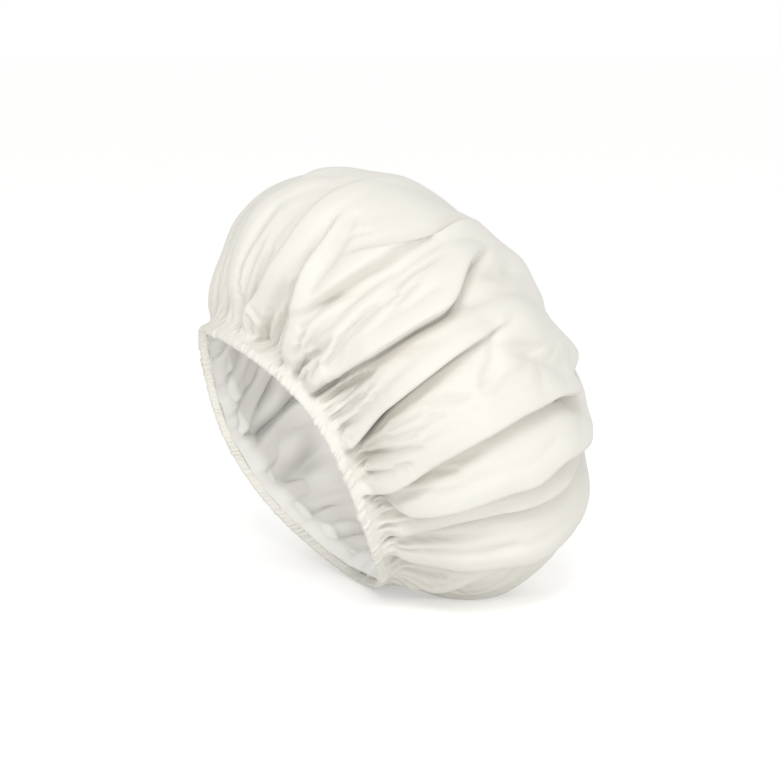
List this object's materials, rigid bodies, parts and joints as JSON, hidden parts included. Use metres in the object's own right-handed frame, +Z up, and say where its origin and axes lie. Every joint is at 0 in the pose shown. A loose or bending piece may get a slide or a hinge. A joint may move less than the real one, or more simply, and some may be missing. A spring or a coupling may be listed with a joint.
{
  "type": "shampoo cap",
  "caption": "Puffed round-cut cloth cap, gathered by an elastic in a ruffled hem, with a barrier film and an absorbent lining that holds shampoo against the hair.",
  "frame": {"origin": "on the table under the middle of the cap's outline, the cap lying on its side", "axes": "+Z up from the table, +X level from the opening towards the crown, +Y across the cap"},
  "size_m": [0.1932, 0.2402, 0.213],
  "materials": {
    "shell_cloth": "cream, soft satin sheen",
    "film": "thin milky film",
    "lining_fleece": "off-white matte nonwoven fleece",
    "binding_cloth": "cream, gathered",
    "elastic_webbing": "covered elastic strip",
    "sewing_thread": "cream polyester thread"
  },
  "bodies": {
    "root": {"outer_shell": "shell_cloth", "barrier_film": "film", "absorbent_lining": "lining_fleece", "hem_binding": "binding_cloth", "elastic_band": "elastic_webbing", "needle_thread": "sewing_thread", "bobbin_thread": "sewing_thread"}
  },
  "joints": []
}
